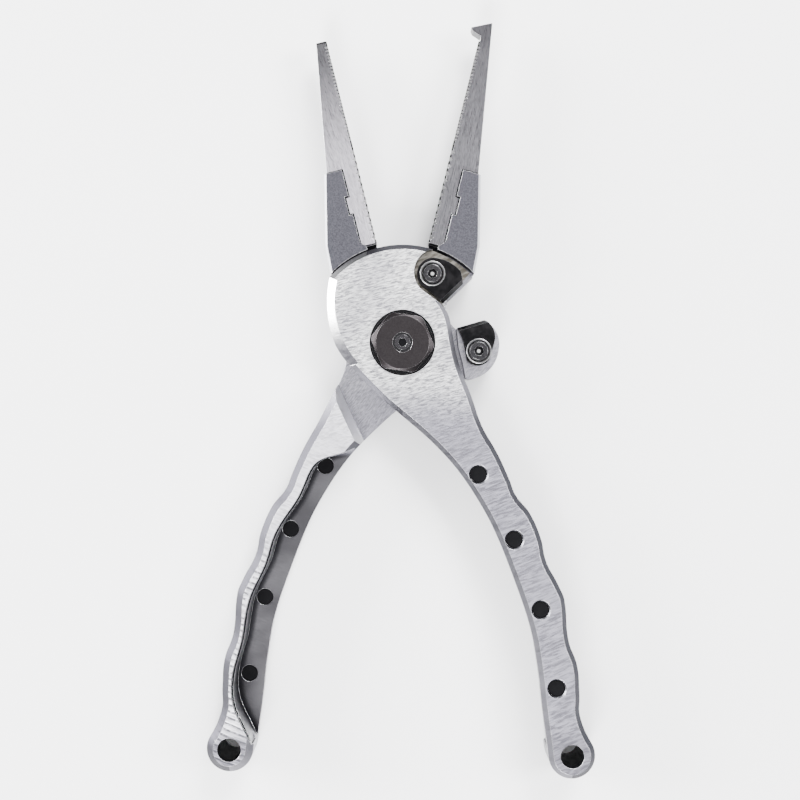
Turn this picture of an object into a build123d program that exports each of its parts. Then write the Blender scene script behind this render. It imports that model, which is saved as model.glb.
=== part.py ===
from build123d import *
import math
import os

os.makedirs("parts", exist_ok=True)

# Lap-jointed fishing pliers, in millimetres. The pivot axis is Z at the origin, the jaws point
# along +Y and the tool lies on its back on z = 0. Each half is drawn with the tool closed, as a
# "left jaw, right handle" half whose own face is at z = THICKNESS. The front half is then turned
# open to the left, and the rear half is turned over about the Y axis and opened to the right.

# Driving dimensions of the whole tool
THICKNESS = 12.0
OPEN_ANGLE = 28.0          # swing between the closed line and the open stop
WASHER_GAP = 0.3           # space between the two laps
LAP_FACE = (THICKNESS + WASHER_GAP) / 2
EDGE_BREAK = 1.1           # chamfer round the outside of each lap

# Head
DISC_R = 21.9
SHOULDER_R = 22.4          # concave shoulder of the jaw holders, clear of the other half's disc
HOLDER_BACK = 2.0
HOLDER_FACE = 10.0
HOLDER_TOP_Y = 40.85
HOLDER_BREAK = 0.45        # chamfer along the holder's outer edges
CUT_ANGLE = 30.0           # the cutter edges meet on this radial line when closed
LEFT_SIDE_CENTRE = (6.8, 7.6)
LEFT_SIDE_R = 21.77        # the head's left side follows this circle closely
LEFT_BEVEL = 1.9           # its wide bevel, measured across the face
LEFT_BEVEL_BOTTOM = 10.7
SHOULDER_SLOPE_RUN = 1.8
SHOULDER_SLOPE_RISE = 3.5

# Jaws
JAW_HALF_THICKNESS = 3.4
JAW_TIP_HALF_THICKNESS = 1.8
JAW_TIP_Y = 70.4
GRIP_GAP = 0.15            # each grip face stands this far off the closed line
SHANK_X = -3.8
SHANK_BOTTOM_Y = 23.3
KEY_X = -4.65
KEY_LOW_Y = 30.6
KEY_HIGH_Y = 34.9
SEAT_GAP = 0.05
SEAM_WIDTH = 0.25          # rebate round the shank's faces, which shows as a seam in the seat
SEAM_DEPTH = 0.9
HEEL_HEIGHT = 0.9          # step of the frame that closes the seat below the shank's end
FINE_PITCH = 0.8
FINE_START_Y = 47.3
COARSE_PITCH = 1.64
COARSE_START_Y = 24.6
COARSE_COUNT = 13

GRIP_BREAK = 0.35          # bevel along the grip face's edges

# Handles
HANDLE_BREAK = 1.6         # chamfer round the flange
FLANGE_LEDGE = 0.5         # narrow ledge cut along the flange's inner edge
FLANGE_LEDGE_DEPTH = 1.2
WEB_THICKNESS = 3.0
BOSS_CENTRE = (14.4, -98.5)
BOSS_R = 5.2
LANYARD_R = 2.65
REAR_SHIFT = (1.1, 1.25)   # the rear handle is set out and up by this much
PLUG_HOLES = [(9.3, -32.6), (13.55, -48.6), (15.5, -65.15), (14.7, -83.0)]
PLUG_R = 1.85
PLUG_HOLE_BREAK = 0.3

# Cutters
EDGE_INNER_R = 12.6        # the notch for the cutting edges starts here
LUG_OUTER_R = 19.4
LUG_MARGIN = 1.0           # degrees from the lug's edge to the meeting line
LUG_CURVE = [(-20.2, 7.2), (-21.4, 3.8), (-20.2, -1.4), (-16.6, -4.3)]
CUTTER_FLOOR = 8.4
CUTTER_TOP = 10.9
CUTTER_GAP = 0.1
UPPER_SCREW = (10.25, 13.4)
LOWER_SCREW = (17.0, 2.35)
CUTTER_SCREW_HEAD_R = 2.2
CUTTER_SCREW_SEAT_R = 2.4
CUTTER_SCREW_RIM_R = 2.75  # the sunk hole opens out to this radius at the blade's face
CUTTER_SCREW_R = 1.25
CUTTER_SCREW_SINK = 1.0
CUTTER_SCREW_HEAD = 1.3
CUTTER_BEVEL_RUN = 0.8
CUTTER_BEVEL_DROP = 1.4
LUG_SCREW_END = 2.2

# Pivot
COUNTERBORE_R = 7.3
COUNTERBORE_FLOOR = 9.8
PIVOT_R = 3.5
RUNNING_GAP = 0.04
BUSH_R = 4.6
PIVOT_HEAD_R = 6.4
PIVOT_HEAD_THICKNESS = 1.6
SPANNER_HOLE_X = 4.0       # two blind holes for a pin spanner, in the flush head
SPANNER_HOLE_R = 0.8
CAP_WASHER_THICKNESS = 0.3
SLIDE_GAP = 0.05
CAP_TOP = 13.4
CAP_FLATS = 12.5           # across the flats of the cap's hexagon
CAP_CORNER_R = 6.95        # its corners are turned down to this radius
CAP_FACE_R = 5.9
CAP_CHAMFER_HEIGHT = 0.6
CAP_TURN = -8.0
CAP_STUB_R = 2.5
LOCK_HEAD_R = 1.67
LOCK_SCREW_R = 0.95
LOCK_SCREW_END = 8.0
LOCK_HEAD_SEAT = 12.4
LOCK_HEAD = 0.75
LOCK_RECESS_R = 2.2
LAP_WASHER_INNER_R = 8.2
LAP_WASHER_OUTER_R = 11.0

# Return spring and open stop, hidden between the laps
SPRING_R = 6.1
SPRING_WIRE_R = 0.4
SPRING_TURNS = 2 + (180 + OPEN_ANGLE) / 360     # ends each leg in its own half's slot
SPRING_PITCH = 0.9
SPRING_FLOOR_GAP = 0.1
SPRING_CHAMBER_INNER_R = 5.2
SPRING_CHAMBER_OUTER_R = 7.1
SPRING_CHAMBER_DEPTH = 1.6
SPRING_LEG = 2.6
SPRING_LEG_PLAY = 0.3
STOP_R = 16.0
STOP_ANGLE = 118.0
STOP_PIN_R = 1.2
STOP_PIN_BOTTOM = 1.5
STOP_PIN_TOP = 7.4
STOP_SLOT_TOP = 7.8
STOP_CLEARANCE = 0.3

# Jaw screws, driven in from the outer edge of each holder
JAW_SCREWS = [(-11.0, 27.3), (-8.6, 37.9)]     # where each axis meets the holder's outer edge
JAW_SCREW_HEAD_R = 1.9
JAW_SCREW_HEAD = 1.8
JAW_SCREW_RECESS = 2.2
JAW_SCREW_R = 1.15
JAW_SCREW_END_X = -1.3
FIT_GAP = 0.05

BIG = 60.0


def polar(radius, angle):
    """Point at a radius and an angle in degrees about the pivot."""
    return (radius * math.cos(math.radians(angle)), radius * math.sin(math.radians(angle)))


def slab(edges, bottom, top):
    """Flat plate between two heights with the outline given by a closed run of edges."""
    return Pos(0, 0, bottom) * extrude(make_face(edges), top - bottom, dir=(0, 0, 1))


def polygon(points, bottom, top):
    return slab(Polyline(*points, close=True).edges(), bottom, top)


def rod(centre, radius, bottom, top):
    """Upright cylinder."""
    return Pos(centre[0], centre[1], (bottom + top) / 2) * Cylinder(radius, top - bottom)


def ring(inner, outer, bottom, top):
    return rod((0, 0), outer, bottom, top) - rod((0, 0), inner, bottom, top)


def hex_socket(centre, across_corners_r, bottom, top):
    """Hexagonal key socket, as a prism to be cut away."""
    return Pos(centre[0], centre[1], bottom) * extrude(RegularPolygon(across_corners_r, 6), top - bottom)


def shifted(points, shift):
    return [(x + shift[0], y + shift[1]) for x, y in points]


# ---------------------------------------------------------------- frame outlines

def arc_pair(start, start_direction, end, end_direction):
    """Two tangent arcs that leave one point and reach the next in the given directions."""
    chord = end - start
    total = start_direction + end_direction
    spread = 2 * (1 - start_direction.dot(end_direction))
    reach = chord.dot(total)
    if spread < 1e-6:
        step = chord.dot(chord) / (4 * chord.dot(end_direction))
    else:
        step = (math.sqrt(reach * reach + spread * chord.dot(chord)) - reach) / spread
    joint = (start + end + (start_direction - end_direction) * step) / 2
    return [TangentArc(start, joint, tangent=start_direction),
            TangentArc(end, joint, tangent=end_direction * -1)]


def flowing_edge(points, first_direction, last_direction):
    """Smooth edge of tangent arcs through the points."""
    knots = [Vector(*point) for point in points]
    directions = [first_direction.normalized()]
    for before, after in zip(knots, knots[2:]):
        directions.append((after - before).normalized())
    directions.append(last_direction.normalized())
    edges = []
    for index in range(len(knots) - 1):
        edges += arc_pair(knots[index], directions[index], knots[index + 1], directions[index + 1])
    return edges


def handle_edges(crotch_points, crotch_direction, neck_points, neck_direction, shift):
    """Outline of a handle: down the inner edge, round the boss and up the finger grooves."""
    inner = crotch_points + shifted([
        (-4.4, -15.3), (0.4, -22.1), (4.3, -28.9), (7.1, -35.8), (9.6, -44.7), (11.3, -56.3),
        (12.3, -68.5), (11.7, -78.0), (10.5, -87.0)], shift)
    outer = shifted([
        (18.3, -90.4), (19.4, -85.5), (20.4, -79.6), (19.9, -73.2), (21.2, -64.5), (20.7, -61.0),
        (19.3, -55.2), (19.4, -49.7), (18.4, -43.9), (16.3, -39.2), (15.7, -35.0), (14.6, -29.2),
        (12.7, -22.3)], shift)
    centre = Vector(*shifted([BOSS_CENTRE], shift)[0])
    boss_edge = ThreePointArc(centre + Vector(*polar(BOSS_R, 172)), centre + Vector(0, -BOSS_R),
                              centre + Vector(*polar(BOSS_R, 20)))
    inner_edge = flowing_edge([*inner, tuple(boss_edge @ 0)], crotch_direction, boss_edge % 0)
    outer_edge = flowing_edge([tuple(boss_edge @ 1), *outer, *neck_points], boss_edge % 1, neck_direction)
    return [*inner_edge, boss_edge, *outer_edge]


def front_outline():
    """Front half: lap disc with a nearly straight left side, cutter plate and right handle."""
    arc_start = polar(DISC_R, 124)
    plate_outer = polar(DISC_R, CUT_ANGLE + 2)
    plate_inner = polar(EDGE_INNER_R, CUT_ANGLE + 2)
    left_low = (-13.2, -1.0)
    left_mid = (-14.95, 6.6)
    left_side = ThreePointArc(arc_start, (-14.4, 11.9), left_mid)
    left_curve = ThreePointArc(left_mid, (-14.6, 2.8), left_low)
    neck = [(12.0, -15.2), (11.1, -7.9), (11.15, -2.7), (11.5, 1.4), (11.4, 3.8), plate_inner]
    return [
        ThreePointArc(arc_start, polar(DISC_R, 80), plate_outer),
        Line(plate_outer, plate_inner),
        left_side,
        left_curve,
        *handle_edges([left_low, (-7.6, -10.8)], left_curve % 1, neck, Vector(-0.4, 0.9), (0, 0)),
    ]


def rear_outline():
    """Rear half: lap disc notched for the cutter edges, with the lower cutter's lug beside it."""
    arc_start = polar(DISC_R, 122.7)
    arc_end = polar(DISC_R, 58.9)
    notch_high = polar(14.0, 122.7)
    edge_inner = polar(EDGE_INNER_R, 180 - CUT_ANGLE + LUG_MARGIN)
    edge_outer = polar(LUG_OUTER_R, 180 - CUT_ANGLE + LUG_MARGIN)
    lug_high, lug_side, lug_turn, lug_low = LUG_CURVE
    lug_root = (-12.0, -3.6)
    neck = [(11.5, -10.5), (11.5, -6.0), (12.8, 2.0), (13.1, 9.5), arc_end]
    return [
        ThreePointArc(arc_start, polar(DISC_R, 90), arc_end),
        Line(arc_start, notch_high),
        ThreePointArc(notch_high, (-8.3, 8.6), edge_inner),
        Line(edge_inner, edge_outer),
        ThreePointArc(edge_outer, lug_high, lug_side),
        ThreePointArc(lug_side, lug_turn, lug_low),
        Line(lug_low, lug_root),
        *handle_edges([lug_root, (-7.6, -10.8)], Vector(0.4, -0.9), neck, Vector(-0.3, 0.95), REAR_SHIFT),
    ]


def recess_edges(shift):
    """Outline of the long recess that leaves a thin web and the finger-grooved flange."""
    flange = shifted([
        (2.4, -26.0), (7.2, -29.2), (10.6, -31.8), (12.0, -36.5), (12.7, -40.4), (14.4, -45.0),
        (15.9, -50.5), (16.2, -56.4), (17.5, -62.8), (17.8, -67.5), (17.2, -74.5), (17.4, -80.0),
        (16.5, -86.4), (13.8, -91.2)], shift)
    mouth = shifted([(8.6, -97.4), (-2.0, -97.4), (-2.0, -26.0)], shift)
    return [Spline(*flange), *Polyline(flange[-1], *mouth, flange[0]).edges()]


def recess_toe(shift):
    """Shallower end of the recess, between its slanted end wall and the lanyard boss."""
    outline = [(13.9, -91.1), (11.3, -94.0), (10.0, -96.2), (4.0, -96.2), (4.0, -91.1)]
    return polygon(shifted(outline, shift), -1, LAP_FACE)


def holder():
    """Jaw holder: full depth beyond the shoulder, rooted in its own lap, with the jaw's keyed seat."""
    seat = SHANK_X - SEAT_GAP
    key = KEY_X - SEAT_GAP
    inner_corner = (-2.6, SHANK_BOTTOM_Y - 0.3)
    upper = [inner_corner, (seat, SHANK_BOTTOM_Y + 0.9), (seat, KEY_LOW_Y), (key, KEY_LOW_Y),
             (key, KEY_HIGH_Y), (seat, KEY_HIGH_Y), (seat, HOLDER_TOP_Y), (-7.9, HOLDER_TOP_Y),
             (-11.55, 25.2), polar(SHOULDER_R, 122)]
    root = polygon([polar(DISC_R - 3, 97), *upper, polar(DISC_R - 3, 119)], LAP_FACE, HOLDER_FACE)
    arm = polygon([polar(SHOULDER_R - 1, 97), *upper], HOLDER_BACK, LAP_FACE)
    block = root + (arm - rod((0, 0), SHOULDER_R, 0, THICKNESS))
    outer = [edge for edge in block.edges()
             if abs((edge % 0).Z) < 0.1 and edge.center().X < -8.5 and 19.5 < edge.center().Y < 40
             and abs(edge.center().Z - LAP_FACE) > 3]
    heel = polygon([(-3.6, SHOULDER_R - 2.4), (-0.4, SHOULDER_R - 1.4), (-0.4, SHANK_BOTTOM_Y - 0.1),
                    (-3.6, SHANK_BOTTOM_Y - 0.1)], LAP_FACE, LAP_FACE + HEEL_HEIGHT)
    return chamfer(outer, HOLDER_BREAK) + heel


# The slanted wall where the full-depth handle begins, beside the other half's lap
WALL_HIGH = Vector(11.9, -12.5, 0)
WALL_LOW = Vector(2.9, -23.7, 0)
WALL_ALONG = (WALL_LOW - WALL_HIGH).normalized()
WALL_ACROSS = Vector(WALL_ALONG.Y, -WALL_ALONG.X, 0)       # towards the head


def lap_space():
    """Room for the other half's lap: everything on the head's side of the slanted wall."""
    start = WALL_HIGH - WALL_ALONG * BIG / 2
    end = WALL_LOW + WALL_ALONG * BIG / 2
    corners = [start, end, end + WALL_ACROSS * BIG, start + WALL_ACROSS * BIG]
    return polygon([(corner.X, corner.Y) for corner in corners], -1, LAP_FACE)


def wall_slope():
    """Wedge cut from the wall's upper edge."""
    plane = Plane(origin=WALL_HIGH, x_dir=WALL_ACROSS, z_dir=-WALL_ALONG)
    run = SHOULDER_SLOPE_RUN
    rise = SHOULDER_SLOPE_RISE
    wedge = Polyline((-1.5 * run, -0.5 * rise), (0.5 * run, 1.5 * rise), (0.5 * run, -0.5 * rise),
                     close=True)
    return extrude(plane * make_face(wedge.edges()), BIG / 2, both=True)


def half_frame(outline, shift):
    """Machined half before its pockets: lap, handle with recess and flange, and jaw holder."""
    lap = slab(outline, LAP_FACE, THICKNESS)
    lap = chamfer(lap.faces().sort_by(Axis.Z)[-1].outer_wire().edges(), EDGE_BREAK)
    handle = slab(outline, 0, LAP_FACE) - lap_space()
    rim = [edge for edge in handle.faces().sort_by(Axis.Z)[0].edges() if edge.geom_type != GeomType.LINE]
    handle = chamfer(rim, HANDLE_BREAK) - wall_slope()
    frame = lap + handle
    frame -= slab(recess_edges(shift), -1, THICKNESS - WEB_THICKNESS)
    frame -= slab(recess_edges((shift[0] + FLANGE_LEDGE, shift[1])), -1, FLANGE_LEDGE_DEPTH)
    frame -= recess_toe(shift)
    for hole in shifted(PLUG_HOLES, shift):
        frame -= rod(hole, PLUG_R + FIT_GAP, THICKNESS - WEB_THICKNESS - 0.1, THICKNESS + 1)
        frame -= Pos(hole[0], hole[1], THICKNESS) * Cone(
            PLUG_R + FIT_GAP, PLUG_R + FIT_GAP + 2 * PLUG_HOLE_BREAK, 2 * PLUG_HOLE_BREAK)
    boss = shifted([BOSS_CENTRE], shift)[0]
    frame -= rod(boss, LANYARD_R, -1, THICKNESS + 1)
    frame += holder()
    for start in JAW_SCREWS:
        frame -= jaw_screw_space(start)
    return frame


def jaw_screw_frame(start):
    """Local frame of a jaw screw: origin on the holder's outer edge, X running inwards."""
    return Pos(start[0], start[1], THICKNESS / 2)


def along_x(radius, start, end):
    """Cylinder lying along X between two distances from the local origin."""
    return Pos((start + end) / 2, 0, 0) * Rot(0, 90, 0) * Cylinder(radius, end - start)


def jaw_screw_space(start):
    """Counterbore and clearance hole for a jaw screw, from outside the holder into its seat."""
    recess = along_x(JAW_SCREW_HEAD_R + 0.15, -4, JAW_SCREW_RECESS)
    hole = along_x(JAW_SCREW_R + FIT_GAP, 0, SHANK_X - start[0] + 1)
    return jaw_screw_frame(start) * (recess + hole)


def jaw_screw(start):
    head_start = JAW_SCREW_RECESS - JAW_SCREW_HEAD
    head = along_x(JAW_SCREW_HEAD_R, head_start, JAW_SCREW_RECESS)
    shank = along_x(JAW_SCREW_R, JAW_SCREW_RECESS, JAW_SCREW_END_X - start[0])
    key = Pos(head_start, 0, 0) * Rot(0, 90, 0) * extrude(RegularPolygon(1.15, 6), 1.0)
    return jaw_screw_frame(start) * (head + shank - key)


# ---------------------------------------------------------------- jaws

def teeth(first_y, pitch, count, depth, width):
    """Vee grooves across a grip face."""
    grooves = []
    for index in range(count):
        y = first_y + index * pitch
        grooves.append(polygon([(0.3, y - width / 2), (-GRIP_GAP, y - width / 2), (-GRIP_GAP - depth, y),
                                (-GRIP_GAP, y + width / 2), (0.3, y + width / 2)], 0, THICKNESS))
    return grooves


def seam_outline():
    """Everything outside the shank's rebated edges, on the holder's side."""
    side = SHANK_X + SEAM_WIDTH
    key_side = KEY_X + SEAM_WIDTH
    top = HOLDER_TOP_Y + SEAT_GAP + SEAM_WIDTH
    key_low = KEY_LOW_Y + SEAT_GAP + SEAM_WIDTH
    key_high = KEY_HIGH_Y - SEAT_GAP - SEAM_WIDTH
    return [(-20, top), (side, top), (side, key_high), (key_side, key_high), (key_side, key_low),
            (side, key_low), (side, 20), (-20, 20)]


def jaw(tip_x, beak):
    """Jaw insert: toothed grip face, keyed shank, and a blade that tapers in depth to the tip."""
    shank = [(-GRIP_GAP, SHANK_BOTTOM_Y), (-2.9, SHANK_BOTTOM_Y), (SHANK_X, SHANK_BOTTOM_Y + 1.0),
             (SHANK_X, KEY_LOW_Y + SEAT_GAP), (KEY_X, KEY_LOW_Y + SEAT_GAP),
             (KEY_X, KEY_HIGH_Y - SEAT_GAP), (SHANK_X, KEY_HIGH_Y - SEAT_GAP),
             (SHANK_X, HOLDER_TOP_Y + SEAT_GAP), (-7.35, HOLDER_TOP_Y + SEAT_GAP)]
    middle = THICKNESS / 2
    body = polygon([*shank, (tip_x, JAW_TIP_Y), (-GRIP_GAP, JAW_TIP_Y)],
                   middle - JAW_HALF_THICKNESS, middle + JAW_HALF_THICKNESS)
    side = Plane.YZ.offset(-BIG / 2)
    for direction in (-1, 1):
        deep = middle + direction * JAW_HALF_THICKNESS
        shallow = middle + direction * JAW_TIP_HALF_THICKNESS
        outside = middle + direction * THICKNESS
        taper = Polyline((HOLDER_TOP_Y + 1, deep), (JAW_TIP_Y, shallow), (BIG * 2, shallow),
                         (BIG * 2, outside), (HOLDER_TOP_Y + 1, outside), close=True)
        body -= extrude(side * make_face(taper.edges()), BIG)
        rebate_start = middle + direction * (JAW_HALF_THICKNESS - SEAM_DEPTH)
        rebate_end = middle + direction * THICKNESS
        body -= polygon(seam_outline(), min(rebate_start, rebate_end), max(rebate_start, rebate_end))
    grip = [edge for edge in body.edges()
            if abs(edge.center().X + GRIP_GAP) < 0.01 and abs((edge % 0.5).Z) < 0.5 and edge.length > 2]
    body = chamfer(grip, GRIP_BREAK)
    if beak:
        body += polygon(beak, middle - JAW_TIP_HALF_THICKNESS, middle + JAW_TIP_HALF_THICKNESS)
    body -= teeth(COARSE_START_Y, COARSE_PITCH, COARSE_COUNT, 0.9, 1.15)
    fine_count = int((JAW_TIP_Y - 0.6 - FINE_START_Y) / FINE_PITCH)
    body -= teeth(FINE_START_Y, FINE_PITCH, fine_count, 0.75, 0.66)
    for start in JAW_SCREWS:
        body -= jaw_screw_frame(start) * along_x(JAW_SCREW_R + FIT_GAP, 0, JAW_SCREW_END_X - start[0] + 0.2)
    return body


# ---------------------------------------------------------------- placing the halves

def place_front(shape):
    return Rot(0, 0, OPEN_ANGLE / 2) * shape


def place_rear(shape):
    return Rot(0, 0, -OPEN_ANGLE / 2) * Pos(0, 0, THICKNESS) * Rot(0, 180, 0) * shape


def stop_slot():
    """Curved slot in the front lap that the stop pin travels along."""
    half_width = STOP_PIN_R + STOP_CLEARANCE
    first = STOP_ANGLE - OPEN_ANGLE
    last = STOP_ANGLE
    sector = Polyline((0, 0), polar(BIG, first), polar(BIG, last), close=True)
    band = ring(STOP_R - half_width, STOP_R + half_width, LAP_FACE - 1, STOP_SLOT_TOP)
    slot = band & slab(sector.edges(), LAP_FACE - 1, STOP_SLOT_TOP)
    for angle in (first, last):
        slot += rod(polar(STOP_R, angle), half_width, LAP_FACE - 1, STOP_SLOT_TOP)
    return slot


def spring_chamber(leg_angle):
    """Half of the ring-shaped chamber between the laps, with a slot for one leg of the spring."""
    chamber = ring(SPRING_CHAMBER_INNER_R, SPRING_CHAMBER_OUTER_R, LAP_FACE - 1,
                   LAP_FACE + SPRING_CHAMBER_DEPTH)
    leg_length = SPRING_LEG + 1
    leg_width = 2 * SPRING_WIRE_R + SPRING_LEG_PLAY
    leg = Pos(SPRING_R + leg_length / 2, 0, LAP_FACE + (SPRING_CHAMBER_DEPTH - 1) / 2) * Box(
        leg_length, leg_width, SPRING_CHAMBER_DEPTH + 1)
    return chamber + Rot(0, 0, leg_angle) * leg


# ---------------------------------------------------------------- front half

def left_bevel():
    """What is cut away for the wide bevel down the head's left side."""
    side = polygon([(-20, 22), polar(DISC_R, 124), (-10.3, 16.5), (-8, 6), (-10.8, -2.2), (-20, -2.2)],
                   THICKNESS - 2, THICKNESS + 0.5)
    slope = LEFT_BEVEL / (THICKNESS - LEFT_BEVEL_BOTTOM)
    low = LEFT_BEVEL_BOTTOM - 1
    high = THICKNESS + 1
    height = high - low
    flare = Cone(LEFT_SIDE_R + slope, LEFT_SIDE_R + slope - slope * height, height)
    return side - Pos(LEFT_SIDE_CENTRE[0], LEFT_SIDE_CENTRE[1], (low + high) / 2) * flare


front = half_frame(front_outline(), (0, 0)) - left_bevel()
cutter_pocket = slab([
    ThreePointArc((11.6, 18.6), (6.1, 13.6), (7.1, 10.2)),
    Line((7.1, 10.2), (10.45, 6.2)),
    *Polyline((10.45, 6.2), (12.2, 2.6), (25, 2.6), (25, 25), (11.6, 18.6)).edges(),
], CUTTER_FLOOR, THICKNESS + 1)
front -= cutter_pocket
front -= rod(UPPER_SCREW, CUTTER_SCREW_R + FIT_GAP, LAP_FACE - 1, CUTTER_FLOOR + 1)
front -= rod((0, 0), COUNTERBORE_R, COUNTERBORE_FLOOR, THICKNESS + 1)
front -= rod((0, 0), BUSH_R, LAP_FACE - 1, THICKNESS)
front -= spring_chamber(0)
front -= stop_slot()


# ---------------------------------------------------------------- rear half, drawn face up like the front

lug_floor = THICKNESS - CUTTER_FLOOR
lug_edge_start = polar(EDGE_INNER_R, 180 - CUT_ANGLE + LUG_MARGIN)
lug_edge_end = polar(LUG_OUTER_R, 180 - CUT_ANGLE + LUG_MARGIN)
lug_high, lug_side, lug_turn, lug_low = LUG_CURVE
lug = slab([
    Line(lug_edge_start, lug_edge_end),
    ThreePointArc(lug_edge_end, lug_high, lug_side),
    ThreePointArc(lug_side, lug_turn, lug_low),
    *Polyline(lug_low, (-15.7, -4.3), (-14.2, -1.0), (-12.5, 2.0), lug_edge_start).edges(),
], lug_floor, LAP_FACE + 0.5)
rear = half_frame(rear_outline(), REAR_SHIFT) + lug
lug_screw_hole = (-LOWER_SCREW[0], LOWER_SCREW[1])
rear -= rod(lug_screw_hole, CUTTER_SCREW_R + FIT_GAP, lug_floor - 1, THICKNESS - LUG_SCREW_END + 0.2)
rear -= rod((0, 0), PIVOT_HEAD_R + FIT_GAP, THICKNESS - PIVOT_HEAD_THICKNESS, THICKNESS + 1)
rear -= rod((0, 0), PIVOT_R + FIT_GAP, LAP_FACE - 1, THICKNESS)
rear -= spring_chamber(0)
stop_hole = polar(STOP_R, 180 - STOP_ANGLE)
rear -= rod(stop_hole, STOP_PIN_R + FIT_GAP, LAP_FACE - 1, THICKNESS - STOP_PIN_BOTTOM)


# ---------------------------------------------------------------- cutters, drawn where they lie when closed

def cutting_bevel(inward_angle):
    """Wedge that grinds a blade's top face down to its edge, along the meeting line."""
    plane = Plane(origin=(0, 0, 0), x_dir=polar(1, inward_angle), z_dir=polar(1, inward_angle - 90))
    run = CUTTER_BEVEL_RUN
    drop = CUTTER_BEVEL_DROP
    wedge = Polyline((CUTTER_GAP - 0.5 * run, CUTTER_TOP - 1.5 * drop),
                     (CUTTER_GAP + 1.5 * run, CUTTER_TOP + 0.5 * drop),
                     (CUTTER_GAP - 0.5 * run, CUTTER_TOP + 0.5 * drop), close=True)
    return extrude(plane * make_face(wedge.edges()), BIG, both=True)


def cutter(edges, screw, inward_angle):
    """Blade with a sunk screw hole and a ground edge."""
    blade = slab(edges, CUTTER_FLOOR, CUTTER_TOP) - cutting_bevel(inward_angle)
    blade -= rod(screw, CUTTER_SCREW_R + FIT_GAP, CUTTER_FLOOR - 1, CUTTER_TOP + 1)
    blade -= rod(screw, CUTTER_SCREW_SEAT_R, CUTTER_TOP - CUTTER_SCREW_SINK, CUTTER_TOP + 1)
    rim_depth = CUTTER_SCREW_RIM_R - CUTTER_SCREW_SEAT_R
    return blade - Pos(screw[0], screw[1], CUTTER_TOP) * Cone(
        CUTTER_SCREW_SEAT_R, CUTTER_SCREW_RIM_R + rim_depth, 2 * rim_depth)


def cutter_screw(centre, end):
    """Socket screw: its head sunk in the blade and its shank in the frame."""
    seat = CUTTER_TOP - CUTTER_SCREW_SINK
    top = seat + CUTTER_SCREW_HEAD
    head = chamfer(rod(centre, CUTTER_SCREW_HEAD_R, seat, top).edges().sort_by(Axis.Z)[-1], 0.25)
    return head + rod(centre, CUTTER_SCREW_R, end, seat) - hex_socket(centre, 1.15, top - 0.9, top + 1)


def edge_point(radius, side):
    """Point on a cutting edge: side 1 is the upper blade's edge, -1 the lower blade's."""
    return Vector(*polar(radius, CUT_ANGLE)) + Vector(*polar(CUTTER_GAP, CUT_ANGLE + 90)) * side


upper_outline = [
    Line(edge_point(12.7, 1), edge_point(19.0, 1)),
    Line(edge_point(19.0, 1), (16.5, 12.3)),
    ThreePointArc((16.5, 12.3), (14.4, 15.0), (11.2, 16.8)),
    ThreePointArc((11.2, 16.8), (6.85, 13.9), (7.7, 10.9)),
    Line((7.7, 10.9), edge_point(12.7, 1)),
]
lower_outline = [
    Line(edge_point(12.7, -1), edge_point(19.1, -1)),
    ThreePointArc(edge_point(19.1, -1), (18.9, 8.0), (19.9, 5.6)),
    Line((19.9, 5.6), (19.8, 1.5)),
    ThreePointArc((19.8, 1.5), (17.2, -1.0), (14.9, -0.4)),
    *Polyline((14.9, -0.4), (13.1, 3.5), edge_point(12.7, -1)).edges(),
]


# ---------------------------------------------------------------- pivot

washer_bottom = COUNTERBORE_FLOOR + SLIDE_GAP
cap_bottom = washer_bottom + CAP_WASHER_THICKNESS
pivot_bolt = rod((0, 0), PIVOT_HEAD_R, 0, PIVOT_HEAD_THICKNESS) + rod((0, 0), PIVOT_R, 1, cap_bottom)
pivot_bolt += rod((0, 0), CAP_STUB_R, cap_bottom - 1, LOCK_HEAD_SEAT)
pivot_bolt -= rod((0, 0), LOCK_SCREW_R + FIT_GAP, LOCK_SCREW_END - 0.5, THICKNESS + 1)
for side in (-1, 1):
    pivot_bolt -= rod((side * SPANNER_HOLE_X, 0), SPANNER_HOLE_R, -1, 1.0)

cap_side_top = CAP_TOP - CAP_CHAMFER_HEIGHT
cap_hex = RegularPolygon(CAP_FLATS / 2, 6, major_radius=False)
pivot_cap = Pos(0, 0, cap_bottom) * extrude(cap_hex, CAP_TOP - cap_bottom)
cap_limit = rod((0, 0), CAP_CORNER_R, cap_bottom, cap_side_top) + Pos(0, 0, cap_side_top) * Cone(
    CAP_CORNER_R, CAP_FACE_R, CAP_CHAMFER_HEIGHT, align=(Align.CENTER, Align.CENTER, Align.MIN))
pivot_cap = Rot(0, 0, CAP_TURN) * (pivot_cap & cap_limit)
pivot_cap -= rod((0, 0), CAP_STUB_R + FIT_GAP, cap_bottom - 1, LOCK_HEAD_SEAT)
pivot_cap -= rod((0, 0), LOCK_RECESS_R, LOCK_HEAD_SEAT - 1, CAP_TOP + 1)

lock_screw = rod((0, 0), LOCK_HEAD_R, LOCK_HEAD_SEAT, LOCK_HEAD_SEAT + LOCK_HEAD)
lock_screw += rod((0, 0), LOCK_SCREW_R, LOCK_SCREW_END, LOCK_HEAD_SEAT)
lock_screw -= hex_socket((0, 0), 1.0, LOCK_HEAD_SEAT + 0.1, CAP_TOP)

lap_washer = ring(LAP_WASHER_INNER_R, LAP_WASHER_OUTER_R, THICKNESS - LAP_FACE, LAP_FACE - SLIDE_GAP)
bushing = ring(PIVOT_R + RUNNING_GAP, BUSH_R - 0.02, LAP_FACE + SLIDE_GAP, COUNTERBORE_FLOOR - SLIDE_GAP)


# ---------------------------------------------------------------- return spring and stop pin

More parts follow.
